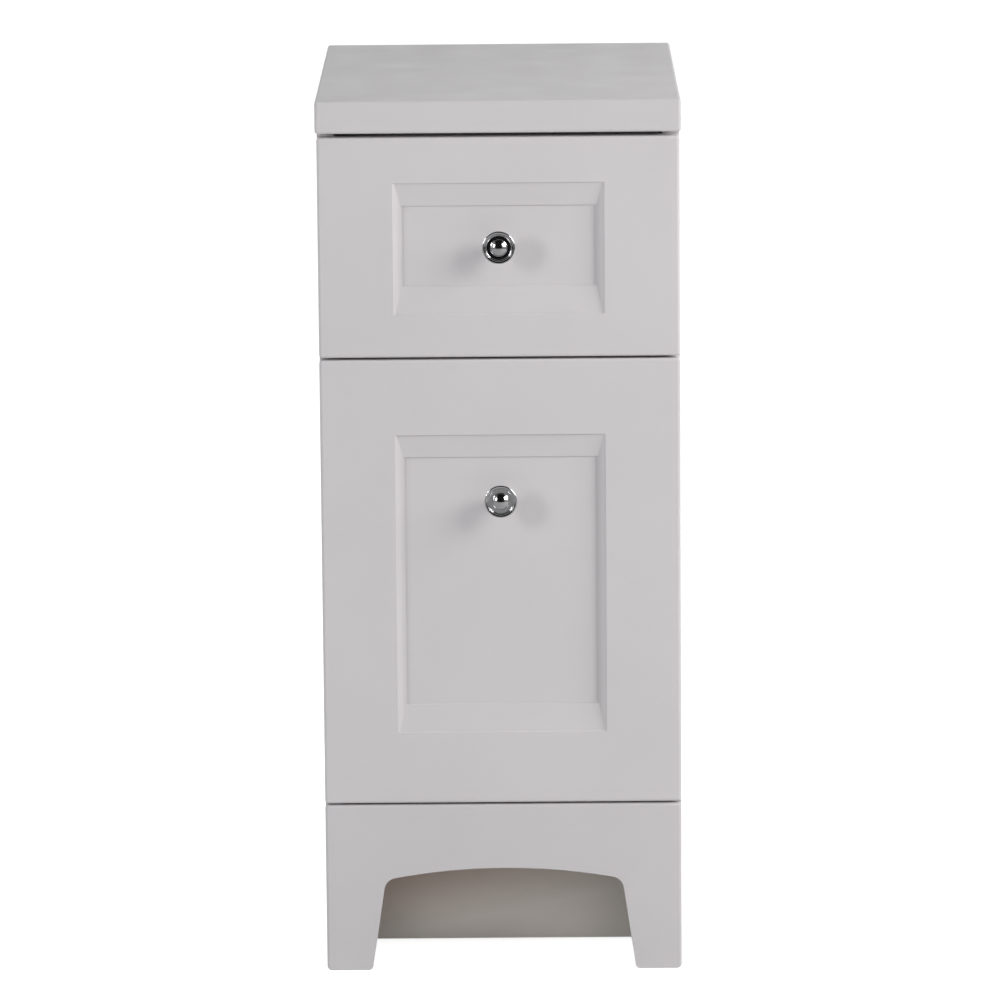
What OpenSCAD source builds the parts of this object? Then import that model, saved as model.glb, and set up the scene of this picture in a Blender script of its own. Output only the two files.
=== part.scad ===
// Narrow bathroom vanity cabinet with two drawers, an arched skirt and a solid top.
// X runs to the right, Y to the back and Z up. The origin is on the floor, at the middle
// of the cabinet's width and of its whole depth, knobs included.

/* [Countertop] */
// Width of the countertop
top_w = 355.6; // [352:0.1:370]
// Depth of the countertop
top_d = 470; // [450:1:520]
// Thickness of the countertop
top_t = 32.2; // [20:0.1:40]
// Height from the floor to the countertop's upper face
total_h = 870; // [850:1:900]
// Radius of the eased edges of the countertop, fronts and skirt
ease_r = 3; // [1:0.5:4]

/* [Fronts] */
// Width of the drawer fronts, the skirt and the carcass
front_w = 352.6; // [345:0.1:355]
// Thickness of the drawer fronts and the skirt
front_t = 19; // [18:0.5:22]
// Height of the upper drawer front
upper_front_h = 216.3; // [200:0.1:230]
// Height of the skirt, from the floor to its upper edge
skirt_h = 168.4; // [150:0.1:180]
// Gap between the two drawer fronts
front_gap = 2.5; // [2:0.1:5]
// Gap between the lower drawer front and the skirt
skirt_gap = 2.1; // [2:0.1:5]
// Gap between the upper drawer front and the countertop
top_gap = 4.4; // [3:0.1:8]
// Distance of the drawer fronts behind the countertop's front edge
front_setback = 3; // [0:0.5:6]
// Space between a closed drawer front and the carcass
bumper_gap = 1.5; // [1.2:0.1:3]

/* [Recessed panels] */
// Width of the stile at either side of a recess
stile_w = 73; // [65:0.5:80]
// Top rail of the upper front
upper_top_rail = 45; // [40:0.5:50]
// Bottom rail of the upper front
upper_bottom_rail = 41.5; // [36:0.5:46]
// Top rail of the lower front
lower_top_rail = 75.5; // [65:0.5:85]
// Bottom rail of the lower front
lower_bottom_rail = 71; // [60:0.5:80]
// Depth of the flat panel behind the face of its front
recess_depth = 6.4; // [5:0.1:9]
// Width of the slope beside each stile
side_bevel = 9.5; // [6:0.5:14]
// Height of the slope below the top rail
top_bevel = 24; // [15:0.5:26]
// Height of the slope above the bottom rail
bottom_bevel = 28.5; // [15:0.5:30]

/* [Knobs] */
// Diameter of the knob's rim
knob_d = 32.4; // [30:0.1:36]
// Distance from the flat panel to the tip of the knob
knob_reach = 27.5; // [27:0.1:30]
// Distance of the upper knob's centre below the top of its flat panel
upper_knob_drop = 37; // [30:0.5:45]
// Distance of the lower knob's centre below the top of its flat panel
lower_knob_drop = 38.5; // [30:0.5:60]

/* [Skirt arch] */
// Height of the arch at its middle
arch_h = 103.4; // [90:0.1:110]
// Radius of the arch
arch_r = 602; // [560:1:700]
// Distance between the two feet at the floor
foot_gap = 262; // [240:1:270]
// Lean of the inner edge of each foot, in degrees
foot_lean = 8.5; // [4:0.5:12]
// Radius between the arch and each foot
arch_fillet = 13; // [8:0.5:18]
// Radius of the corners at the bottom of each foot
foot_r = 4.5; // [2:0.5:6]

/* [Carcass] */
// Thickness of the side panels, bottom panel, rails and toe kick
board_t = 16; // [15:0.5:18]
// Thickness of the back panel
back_t = 3; // [3:0.5:6]
// Distance from the skirt's back to the toe kick's face
toe_setback = 97.5; // [70:0.5:120]
// Width of the stretcher and height of the wall rail
rail_w = 80; // [60:1:100]
// Distance between the two wall screw holes
wall_hole_spacing = 203.2; // [150:0.1:240]
// Diameter of the wall screw holes
wall_hole_d = 5.5; // [4:0.1:6]

/* [Drawer boxes] */
// Depth of both drawer boxes, and length of their slides
box_d = 400; // [380:1:420]
// Height of the upper drawer box
upper_box_h = 150; // [120:1:160]
// Height of the lower drawer box
lower_box_h = 360; // [300:1:380]
// Distance from the lower edge of a front to the lower edge of its box
box_rise = 20; // [18:1:25]
// Thickness of the boards of a drawer box
box_t = 12; // [11:0.5:13]
// Thickness of the bottom of a drawer box
box_bottom_t = 6; // [4:0.5:8]
// Distance from the lower edge of a box to its bottom panel
bottom_rise = 12; // [8:1:16]

/* [Drawer slides] */
// Height of a slide
slide_h = 45; // [42:0.5:46]
// Space that a slide takes between the carcass and the drawer box
slide_t = 12.7; // [12.4:0.1:13]
// Thickness of the slides' steel
steel_t = 1.2; // [1:0.1:1.3]
// Length of a ball cage
cage_len = 200; // [160:5:200]
// Number of balls in each row of a ball cage
ball_count = 8; // [4:1:12]

/* [Hidden] */
$fn = 96;
overcut = 1;
fillet_cross = 0.02;

// Planes from the front to the back
top_y = (knob_reach - recess_depth - front_setback - top_d) / 2;
face_y = top_y + front_setback;
front_back_y = face_y + front_t;
carcass_y = front_back_y + bumper_gap;
skirt_y = carcass_y - front_t;
toe_y = carcass_y + toe_setback;
back_y = top_y + top_d;
panel_y = face_y + recess_depth;

// Levels from the floor up
lower_z = skirt_h + skirt_gap;
carcass_h = total_h - top_t;
upper_z = carcass_h - top_gap - upper_front_h;
lower_front_h = upper_z - front_gap - lower_z;
deck_z = skirt_h - 10;
deck_top_z = deck_z + board_t;
lower_knob_z = lower_z + lower_front_h - lower_top_rail - top_bevel - lower_knob_drop;
upper_knob_z = upper_z + upper_front_h - upper_top_rail - top_bevel - upper_knob_drop;

// Carcass
inner_w = front_w - 2 * board_t;
rabbet_w = 8;
toe_lift = 2;
stretcher_y = carcass_y + 30;
rail_y = back_y - back_t - board_t;
dowel_r = 4;
dowel_len = 30;
dowel_in_side = 10;
dowel_play = 0.05;
block_w = 18;
block_h = 90;
block_z = 55;
brace_w = 55;
brace_t = 14;
brace_wall = 6;
screw_r = 2;
screw_head_r = 4;
screw_head_h = 2.4;
top_screw_len = 34;
top_screw_inset = 40;

// Drawer boxes
box_w = inner_w - 2 * slide_t;
groove = box_t / 2;
box_y = front_back_y;
box_back_y = box_y + box_d;
front_screw_x = box_w / 2 - 28;
front_screw_len = 26;
bumper_r = 4;
bumper_t = bumper_gap - 0.3;
bumper_inset = 14;

// Knob, measured forward from the flat panel
knob_r = knob_d / 2;
rim_r = 1.2;
rim_t = knob_reach - 4.5;
rim_side = 0.4;
land_drop = 0.45;
bead_r = 1.2;
bead_at = knob_r - 3;
bead_t = rim_t - 0.3;
dish_t = rim_t - 0.6;
dome_r = 8.2;
dome_curve = 10.5;
neck_r = 5.5;
foot_flange_r = 9.5;
foot_flange_t = 2.5;
knob_thread_r = 2;
knob_thread_t = 9;
knob_bore_t = 12;
knob_thread_play = 0.05;
knob_hole_r = knob_thread_r + 0.25;

// Slides, measured inward from the carcass side
slide_y = carcass_y + 2;
slide_len = box_d;
race_play = 0.1;
outer_ball_r = 2;
inner_ball_r = 1.6;
ball_x = 6.5;
inner_ball_x = 8;
outer_race_z = slide_h / 2 - steel_t;
middle_outer_z = outer_race_z - 2 * outer_ball_r - 2 * race_play;
middle_inner_z = middle_outer_z - steel_t;
drawer_race_z = middle_inner_z - 2 * inner_ball_r - 2 * race_play;
middle_x = 2 * steel_t;
drawer_web_x = slide_t - steel_t;
outer_tip_x = slide_t - 1.7;
middle_tip_x = slide_t - 2.1;
inner_tip_x = middle_x + 2.6;
cage_tip_gap = 1.4;
cage_t = 0.5;
cage_y = slide_y + (slide_len - cage_len) / 2;
slide_screw_r = 1.75;
slide_screw_head_r = 3.4;
slide_screw_len = 13;
slide_screw_at = [35, 195, 365];

// Each drawer: level and height of its front, rails above and below the recess,
// level of its knob, height of its box, height of its slides above the box's lower edge
upper = [upper_z, upper_front_h, upper_top_rail, upper_bottom_rail, upper_knob_z,
  upper_box_h, 50];
lower = [lower_z, lower_front_h, lower_top_rail, lower_bottom_rail, lower_knob_z,
  lower_box_h, 100];
function front_low(drawer) = drawer[0];
function front_high(drawer) = drawer[0] + drawer[1];
function recess_low(drawer) = drawer[0] + drawer[3];
function recess_high(drawer) = front_high(drawer) - drawer[2];
function knob_z(drawer) = drawer[4];
function box_low(drawer) = drawer[0] + box_rise;
function box_high(drawer) = box_low(drawer) + drawer[5];
function slide_z(drawer) = box_low(drawer) + drawer[6];

// ---- Helpers -------------------------------------------------------------------------

// A box between two opposite corners
module block(low, high) {
  translate(low) cube(high - low);
}

// An outline in X and Z, drawn from y0 to y1
module extrude_y(y0, y1) {
  translate([0, y1, 0]) rotate([90, 0, 0]) linear_extrude(y1 - y0) children();
}

// An outline in Y and Z, drawn from x0 to x1
module extrude_x(x0, x1) {
  translate([x0, 0, 0]) rotate([90, 0, 90]) linear_extrude(x1 - x0) children();
}

// A round bar that starts at a point and runs along +Y
module bar_y(at, r, len) {
  translate(at) rotate([-90, 0, 0]) cylinder(h = len, r = r);
}

// A round bar that starts at a point and runs along +X
module bar_x(at, r, len) {
  translate(at) rotate([0, 90, 0]) cylinder(h = len, r = r);
}

// What is removed to round one corner of an outline; inward points into the outline
module corner_waste(at, inward, r) {
  translate(at) difference() {
    translate([inward[0] > 0 ? -overcut : -r, inward[1] > 0 ? -overcut : -r])
      square(r + overcut);
    translate(inward * r) circle(r);
  }
}

// A rectangle with its two low-side and, if both is true, its two high-side corners rounded
module eased_rect(low, high, r, both = false) {
  difference() {
    translate(low) square(high - low);
    corner_waste(low, [1, 1], r);
    if (both) {
      corner_waste([high[0], low[1]], [-1, 1], r);
      corner_waste(high, [-1, -1], r);
    }
    corner_waste([low[0], high[1]], [1, -1], r);
  }
}

// A rectangle whose two corners on the low second coordinate are rounded
module eased_front(x0, x1, y0, y1, r) {
  difference() {
    translate([x0, y0]) square([x1 - x0, y1 - y0]);
    corner_waste([x0, y0], [1, 1], r);
    corner_waste([x1, y0], [-1, 1], r);
  }
}

// A board whose front edges and front corners are eased
module eased_board(w, y0, y1, z0, z1, r) {
  intersection() {
    extrude_y(y0, y1) eased_rect([-w / 2, z0], [w / 2, z1], r, both = true);
    extrude_x(-w / 2, w / 2) eased_rect([y0, z0], [y1, z1], r);
    translate([0, 0, z0]) linear_extrude(z1 - z0) eased_front(-w / 2, w / 2, y0, y1, r);
  }
}

// Places what is drawn inward from x = 0 at the left (-1) or right (1) inner carcass wall
module at_wall(side) {
  if (side < 0) translate([-inner_w / 2, 0, 0]) children();
  else mirror([1, 0, 0]) translate([-inner_w / 2, 0, 0]) children();
}

// ---- Carcass -------------------------------------------------------------------------

module countertop() {
  color("whitesmoke") difference() {
    eased_board(top_w, top_y, back_y, carcass_h, total_h, ease_r);
    for (at = top_screw_places())
      translate([at[0], at[1], carcass_h - overcut])
        cylinder(h = top_screw_len - board_t + overcut, r = screw_r);
  }
}

// Where the countertop is screwed on: two points in the stretcher, two in the braces
function top_screw_places() = [
  for (side = [-1, 1]) [side * (inner_w / 2 - top_screw_inset), stretcher_y + rail_w / 2],
  for (side = [-1, 1]) [side * (inner_w / 2 - brace_w / 2), rail_y - brace_wall / 2 - 12]
];

// Dowels of one side, as [y, z] of their axes
function dowel_places() = [
  for (y = [carcass_y + 40, carcass_y + 220, carcass_y + 400]) [y, deck_z + board_t / 2],
  for (y = [stretcher_y + 20, stretcher_y + 60]) [y, carcass_h - board_t / 2],
  for (z = [carcass_h - rail_w + 20, carcass_h - 20]) [rail_y + board_t / 2, z],
  for (z = [40, 110]) [toe_y + board_t / 2, z]
];

// Holes for the dowels of both sides; they cut the side panels and the boards between them
module dowel_holes() {
  for (side = [-1, 1]) at_wall(side) for (at = dowel_places())
    bar_x([-dowel_in_side, at[0], at[1]], dowel_r, dowel_len);
}

module carcass_dowels() {
  color("burlywood") for (side = [-1, 1]) at_wall(side) for (at = dowel_places())
    bar_x([-dowel_in_side + dowel_play, at[0], at[1]], dowel_r - dowel_play,
      dowel_len - 2 * dowel_play);
}

module side_panel(side) {
  color("gainsboro") difference() {
    at_wall(side) difference() {
      block([-board_t, carcass_y, 0], [0, back_y, carcass_h]);
      block([-rabbet_w, back_y - back_t, deck_z], [overcut, back_y + overcut, carcass_h + overcut]);
    }
    dowel_holes();
    slide_outer_screws(side);
    brace_screw_pair(side);
  }
}

module bottom_panel() {
  color("gainsboro") difference() {
    block([-inner_w / 2, carcass_y, deck_z], [inner_w / 2, back_y - back_t, deck_top_z]);
    dowel_holes();
  }
}

module wall_holes() {
  for (side = [-1, 1])
    bar_y([side * wall_hole_spacing / 2, rail_y - overcut, carcass_h - rail_w / 2],
      wall_hole_d / 2, board_t + back_t + 2 * overcut);
}

module back_panel() {
  color("tan") difference() {
    block([-inner_w / 2 - rabbet_w, back_y - back_t, deck_z],
      [inner_w / 2 + rabbet_w, back_y, carcass_h]);
    wall_holes();
  }
}

module front_stretcher() {
  color("gainsboro") difference() {
    block([-inner_w / 2, stretcher_y, carcass_h - board_t],
      [inner_w / 2, stretcher_y + rail_w, carcass_h]);
    dowel_holes();
    top_screws(0);
  }
}

module wall_rail() {
  color("gainsboro") difference() {
    block([-inner_w / 2, rail_y, carcass_h - rail_w], [inner_w / 2, rail_y + board_t, carcass_h]);
    dowel_holes();
    wall_holes();
  }
}

module toe_kick() {
  color("gainsboro") difference() {
    block([-inner_w / 2, toe_y, toe_lift], [inner_w / 2, toe_y + board_t, deck_z]);
    dowel_holes();
  }
}

// The open space below the arch and between the feet, as an outline in X and Z
module arch_outline() {
  arch_centre = [0, arch_h - arch_r];
  along = [-sin(foot_lean), cos(foot_lean)];
  inward = [-cos(foot_lean), -sin(foot_lean)];
  foot_x = foot_gap / 2;
  start = [foot_x, 0] + arch_fillet * inward - arch_centre;
  // how far up the foot's edge the fillet's centre lies, from its touching both edges
  reach = -start * along
    + sqrt(pow(start * along, 2) - start * start + pow(arch_r - arch_fillet, 2));
  centre = start + arch_centre + reach * along;
  on_foot = centre - arch_fillet * inward;
  away = (centre - arch_centre) / norm(centre - arch_centre);
  beyond = centre + 2 * arch_fillet * away;
  floor_x = foot_x + overcut * tan(foot_lean);
  toe = [foot_x + foot_r * (1 / cos(foot_lean) - tan(foot_lean)), foot_r];
  intersection() {
    translate(arch_centre) circle(arch_r, $fn = 720);
    polygon([
      [-floor_x, -overcut], [floor_x, -overcut], on_foot, centre, beyond,
      [0, arch_h + arch_fillet], [-beyond[0], beyond[1]], [-centre[0], centre[1]],
      [-on_foot[0], on_foot[1]]
    ]);
  }
  for (side = [0, 1]) mirror([side, 0]) {
    // the fillet between the arch and each foot, a little larger so that it crosses both
    translate(centre) circle(arch_fillet + fillet_cross);
    // the rounded inner corner at the bottom of each foot
    difference() {
      polygon([
        [foot_x - foot_r, -overcut], [toe[0], -overcut], toe,
        toe + foot_r * inward, toe + foot_r * inward - [foot_r, 0]
      ]);
      translate(toe) circle(foot_r);
    }
  }
}

module front_skirt() {
  half_w = front_w / 2;
  color("whitesmoke") intersection() {
    extrude_y(skirt_y - overcut, carcass_y) difference() {
      translate([-half_w, 0]) square([front_w, skirt_h]);
      for (side = [0, 1]) mirror([side, 0]) {
        corner_waste([half_w, 0], [-1, 1], foot_r);
        corner_waste([half_w, skirt_h], [-1, -1], ease_r);
      }
      arch_outline();
    }
    extrude_x(-half_w - overcut, half_w + overcut) difference() {
      translate([skirt_y, -overcut]) square([front_t + overcut, skirt_h + overcut]);
      corner_waste([skirt_y, skirt_h], [1, -1], ease_r);
    }
    translate([0, 0, -overcut]) linear_extrude(skirt_h + 2 * overcut)
      eased_front(-half_w, half_w, skirt_y, carcass_y + overcut, ease_r);
  }
}

module skirt_blocks() {
  color("burlywood") for (side = [-1, 1]) at_wall(side)
    translate([0, carcass_y, block_z]) linear_extrude(block_h)
      polygon([[0, 0], [block_w, 0], [0, block_w]]);
}

// Screws that join the brace in one rear corner to its side panel
module brace_screw_pair(side) {
  for (y = [rail_y - brace_w + 12, rail_y - 22])
    at_wall(side) {
      bar_x([-board_t + 5, y, carcass_h - brace_t / 2], screw_r, board_t - 5 + brace_wall);
      bar_x([brace_wall, y, carcass_h - brace_t / 2], screw_head_r, screw_head_h);
    }
}

module brace_screws() {
  color("silver") for (side = [-1, 1]) brace_screw_pair(side);
}

// Plastic angle brackets in the two rear corners, with a web across that carries a screw
module corner_braces() {
  color("white") difference() {
    for (side = [-1, 1]) at_wall(side) {
      translate([0, rail_y, carcass_h - brace_t]) linear_extrude(brace_t) difference() {
        polygon([[0, 0], [brace_w, 0], [0, -brace_w]]);
        polygon([
          [brace_wall, -brace_wall],
          [brace_w - 2.5 * brace_wall, -brace_wall],
          [brace_wall, -brace_w + 2.5 * brace_wall]
        ]);
      }
      translate([0, rail_y, carcass_h - brace_wall]) linear_extrude(brace_wall)
        polygon([[0, 0], [brace_w, 0], [0, -brace_w]]);
    }
    brace_screws();
    top_screws(1);
  }
}

// Screws up into the countertop: through the stretcher (row 0) or the braces (row 1)
module top_screws(row) {
  shelf_t = row == 0 ? board_t : brace_wall;
  color("silver") for (i = [0, 1]) {
    at = top_screw_places()[2 * row + i];
    translate([at[0], at[1], carcass_h - shelf_t]) {
      cylinder(h = shelf_t + top_screw_len - board_t, r = screw_r);
      translate([0, 0, -screw_head_h]) cylinder(h = screw_head_h, r = screw_head_r);
    }
  }
}

// ---- Drawer slides -------------------------------------------------------------------

// A channel of bent steel in X and Z: its web at web_x, its open side towards +X or -X
module channel(web_x, tip_x, half_h) {
  low = min(web_x, tip_x);
  high = max(web_x + steel_t, tip_x);
  difference() {
    translate([low, -half_h]) square([high - low, 2 * half_h]);
    translate([tip_x > web_x ? web_x + steel_t : low - overcut, steel_t - half_h])
      square([high - low - steel_t + overcut, 2 * (half_h - steel_t)]);
  }
}

// The lips that keep the balls in a channel
module lips(tip_x, inner_z) {
  for (low_z = [inner_z - steel_t, -inner_z - steel_t / 2])
    translate([tip_x - steel_t, low_z]) square([steel_t, 1.5 * steel_t]);
}

// A countersunk screw whose head lies flush in a slide's web, pointing to -X (-1) or +X (1)
module countersunk_screw(at, toward, len) {
  translate(at) rotate([0, toward * 90, 0]) {
    cylinder(h = steel_t, r1 = slide_screw_head_r, r2 = slide_screw_r);
    cylinder(h = len, r = slide_screw_r);
  }
}

module slide_outer_screws(side) {
  color("silver") for (drawer = [upper, lower], y = slide_screw_at)
    at_wall(side)
      countersunk_screw([steel_t, slide_y + y, slide_z(drawer)], -1, slide_screw_len);
}

module slide_inner_screws(side, drawer) {
  color("silver") for (y = slide_screw_at)
    at_wall(side)
      countersunk_screw([drawer_web_x, slide_y + y, slide_z(drawer)], 1, slide_screw_len - 2);
}

// The same screws on both sides of the cabinet
module all_outer_screws() {
  for (side = [-1, 1]) slide_outer_screws(side);
}

module all_inner_screws(drawer) {
  for (side = [-1, 1]) slide_inner_screws(side, drawer);
}

// One member of a slide, from its section
module slide_member(side, drawer) {
  at_wall(side) translate([0, 0, slide_z(drawer)]) extrude_y(slide_y, slide_y + slide_len)
    children();
}

// The member that is screwed to the carcass
module slide_outer(side, drawer) {
  color("silver") difference() {
    slide_member(side, drawer) {
      channel(0, outer_tip_x, slide_h / 2);
      lips(outer_tip_x, outer_race_z);
    }
    slide_outer_screws(side);
  }
}

// The member between the other two, which travels half as far as the drawer
module slide_middle(side, drawer) {
  color("silver") slide_member(side, drawer)
    channel(middle_x, middle_tip_x, middle_outer_z);
}

// The member that is screwed to the drawer box, open towards the carcass
module slide_inner(side, drawer) {
  color("silver") difference() {
    slide_member(side, drawer) channel(drawer_web_x, inner_tip_x, drawer_race_z);
    slide_inner_screws(side, drawer);
  }
}

// A bent strip that holds two rows of balls at one distance apart
module ball_cage(web_x, tip_x, row_x, row_z, ball_r) {
  pitch = cage_len / ball_count;
  extrude_y(cage_y, cage_y + cage_len) {
    translate([web_x, -row_z - cage_t / 2]) square([cage_t, 2 * row_z + cage_t]);
    for (side = [0, 1]) mirror([0, side])
      translate([web_x, row_z - cage_t / 2]) square([tip_x - web_x, cage_t]);
  }
  for (i = [0:ball_count - 1], side = [-1, 1])
    translate([row_x, cage_y + (i + 0.5) * pitch, side * row_z]) sphere(r = ball_r);
}

// The cages between the carcass members and the middle members of one drawer
module outer_ball_cages(drawer) {
  color("gray") for (side = [-1, 1]) at_wall(side) translate([0, 0, slide_z(drawer)])
    ball_cage((3 * steel_t - cage_t) / 2, outer_tip_x - cage_tip_gap, ball_x,
      outer_race_z - race_play - outer_ball_r, outer_ball_r);
}

// The cages between the middle members and the drawer members of one drawer
module inner_ball_cages(drawer) {
  color("gray") for (side = [-1, 1]) at_wall(side) translate([0, 0, slide_z(drawer)])
    ball_cage(inner_tip_x - 2 * cage_t + 0.05, middle_tip_x - cage_tip_gap / 2, inner_ball_x,
      middle_inner_z - race_play - inner_ball_r, inner_ball_r);
}

// ---- Drawers -------------------------------------------------------------------------

// The outline of a recess across its width or height: steep steps, slopes, then the flat
module recess_outline(low, high, low_bevel, high_bevel) {
  step_depth = 1;
  step_lean = 0.3;
  polygon([
    [low, -overcut], [low, 0], [low + step_lean, step_depth],
    [low + low_bevel - step_lean, recess_depth - step_depth], [low + low_bevel, recess_depth],
    [high - high_bevel, recess_depth], [high - high_bevel + step_lean, recess_depth - step_depth],
    [high - step_lean, step_depth], [high, 0], [high, -overcut]
  ]);
}

module drawer_front(drawer) {
  recess_x = front_w / 2 - stile_w;
  low = front_low(drawer);
  high = front_high(drawer);
  color("whitesmoke") difference() {
    eased_board(front_w, face_y, front_back_y, low, high, ease_r);
    // where the slopes of the stiles meet those of the rails, they form the mitres
    intersection() {
      translate([0, face_y, low]) linear_extrude(high - low)
        recess_outline(-recess_x, recess_x, side_bevel, side_bevel);
      translate([-front_w / 2, face_y, 0]) mirror([0, 1, 0]) rotate([0, 90, 0])
        rotate([0, 0, 180]) linear_extrude(front_w)
          recess_outline(recess_low(drawer), recess_high(drawer), bottom_bevel, top_bevel);
    }
    bar_y([0, panel_y - overcut, knob_z(drawer)], knob_hole_r, front_t);
    front_screws(drawer);
  }
}

// A side of a drawer box, with the groove for the bottom
module box_side(side, drawer) {
  low = box_low(drawer);
  inside_x = slide_t + box_t;
  color("burlywood") difference() {
    at_wall(side) difference() {
      block([slide_t, box_y, low], [inside_x, box_back_y, box_high(drawer)]);
      block([inside_x - groove, box_y + groove, low + bottom_rise],
        [inside_x + overcut, box_back_y - groove, low + bottom_rise + box_bottom_t]);
    }
    slide_inner_screws(side, drawer);
  }
}

// The front or back board of a drawer box, from y0, with its groove on the near (-1) or
// far (1) face
module box_end(y0, groove_side, drawer) {
  half_w = box_w / 2 - box_t;
  low = box_low(drawer);
  groove_y = groove_side > 0 ? y0 + box_t - groove : y0 - overcut;
  difference() {
    block([-half_w, y0, low], [half_w, y0 + box_t, box_high(drawer)]);
    block([-half_w - overcut, groove_y, low + bottom_rise],
      [half_w + overcut, groove_y + groove + overcut, low + bottom_rise + box_bottom_t]);
  }
}

module box_front(drawer) {
  color("burlywood") difference() {
    box_end(box_y, 1, drawer);
    bar_y([0, box_y - overcut, knob_z(drawer)], knob_hole_r, box_t + 2 * overcut);
    front_screws(drawer);
  }
}

module box_back(drawer) {
  color("burlywood") box_end(box_back_y - box_t, -1, drawer);
}

module box_bottom(drawer) {
  half_w = box_w / 2 - box_t + groove;
  low = box_low(drawer) + bottom_rise;
  color("tan") block([-half_w, box_y + box_t - groove, low],
    [half_w, box_back_y - box_t + groove, low + box_bottom_t]);
}

// Screws from inside a box into its drawer front
module front_screws(drawer) {
  low = box_low(drawer);
  box_h = box_high(drawer) - low;
  color("silver") for (x = [-front_screw_x, front_screw_x], at = [0.25, 0.75]) {
    bar_y([x, box_y + box_t - front_screw_len, low + at * box_h], screw_r, front_screw_len);
    bar_y([x, box_y + box_t, low + at * box_h], screw_head_r, screw_head_h);
  }
}

// Soft discs that meet the front edges of the side panels
module bumpers(drawer) {
  levels = [front_low(drawer) + bumper_inset, front_high(drawer) - bumper_inset];
  color("dimgray") for (side = [-1, 1], z = levels)
    bar_y([side * (front_w - board_t) / 2, front_back_y, z], bumper_r, bumper_t);
}

// Half of the knob's section: radius across, distance from the flat panel up
module knob_half() {
  rim_at = knob_r - rim_r;
  rim_low = rim_t - rim_side;
  cove_r = rim_at - neck_r;
  cove_t = rim_low - rim_r - cove_r;
  square([foot_flange_r, foot_flange_t]);
  square([neck_r, rim_low]);
  // the back of the head, curving out from the neck to the rim
  difference() {
    translate([0, cove_t]) square([rim_at, dish_t - cove_t]);
    translate([rim_at, cove_t]) circle(cove_r);
  }
  translate([rim_at, rim_t]) circle(rim_r);
  translate([rim_at, rim_low]) circle(rim_r);
  translate([rim_at, rim_low]) square([rim_r, rim_side]);
  // the bead beside the flat dish, and the land that rises from it to the rim
  translate([bead_at, bead_t]) circle(bead_r);
  polygon([
    [bead_at, dish_t], [rim_at, dish_t], [rim_at, rim_t + rim_r],
    [bead_at, rim_t + rim_r - land_drop]
  ]);
  // the low dome in the middle
  intersection() {
    translate([0, knob_reach - dome_curve]) circle(dome_curve);
    translate([0, rim_low - rim_r]) square([dome_r, knob_reach]);
  }
}

module knob(drawer) {
  color("silver") translate([0, panel_y, knob_z(drawer)]) rotate([90, 0, 0]) difference() {
    rotate_extrude() knob_half();
    translate([0, 0, -overcut])
      cylinder(h = knob_bore_t + overcut, r = knob_thread_r + knob_thread_play);
  }
}

// The machine screw that clamps a knob through the front and the drawer box
module knob_screw(drawer) {
  start_y = panel_y - knob_thread_t;
  color("silver") {
    bar_y([0, start_y, knob_z(drawer)], knob_thread_r, box_y + box_t - start_y);
    bar_y([0, box_y + box_t, knob_z(drawer)], screw_head_r, screw_head_h);
  }
}

// ---- Nodes ---------------------------------------------------------------------------

countertop();
side_panel(-1);  // side_panel_left
side_panel(1);  // side_panel_right
bottom_panel();
back_panel();
front_stretcher();
wall_rail();
toe_kick();
front_skirt();
skirt_blocks();
corner_braces();
for (row = [0, 1]) top_screws(row);
brace_screws();
carcass_dowels();
all_outer_screws();  // slide_outer_screws
slide_outer(-1, upper);  // upper_slide_outer_left
slide_outer(1, upper);  // upper_slide_outer_right
slide_middle(-1, upper);  // upper_slide_middle_left
slide_middle(1, upper);  // upper_slide_middle_right
slide_inner(-1, upper);  // upper_slide_inner_left
slide_inner(1, upper);  // upper_slide_inner_right
all_inner_screws(upper);  // upper_slide_inner_screws
outer_ball_cages(upper);  // upper_outer_ball_cages
inner_ball_cages(upper);  // upper_inner_ball_cages
drawer_front(upper);  // upper_drawer_front
box_front(upper);  // upper_box_front
box_back(upper);  // upper_box_back
box_side(-1, upper);  // upper_box_left
box_side(1, upper);  // upper_box_right
box_bottom(upper);  // upper_box_bottom
knob(upper);  // upper_knob
knob_screw(upper);  // upper_knob_screw
front_screws(upper);  // upper_front_screws
bumpers(upper);  // upper_bumpers
slide_outer(-1, lower);  // lower_slide_outer_left
slide_outer(1, lower);  // lower_slide_outer_right
slide_middle(-1, lower);  // lower_slide_middle_left
slide_middle(1, lower);  // lower_slide_middle_right
slide_inner(-1, lower);  // lower_slide_inner_left
slide_inner(1, lower);  // lower_slide_inner_right
all_inner_screws(lower);  // lower_slide_inner_screws
outer_ball_cages(lower);  // lower_outer_ball_cages
inner_ball_cages(lower);  // lower_inner_ball_cages
drawer_front(lower);  // lower_drawer_front
box_front(lower);  // lower_box_front
box_back(lower);  // lower_box_back
box_side(-1, lower);  // lower_box_left
box_side(1, lower);  // lower_box_right
box_bottom(lower);  // lower_box_bottom
knob(lower);  // lower_knob
knob_screw(lower);  // lower_knob_screw
front_screws(lower);  // lower_front_screws
bumpers(lower);  // lower_bumpers
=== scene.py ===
import math

import bmesh
import bpy
from mathutils import Matrix, Vector


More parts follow.
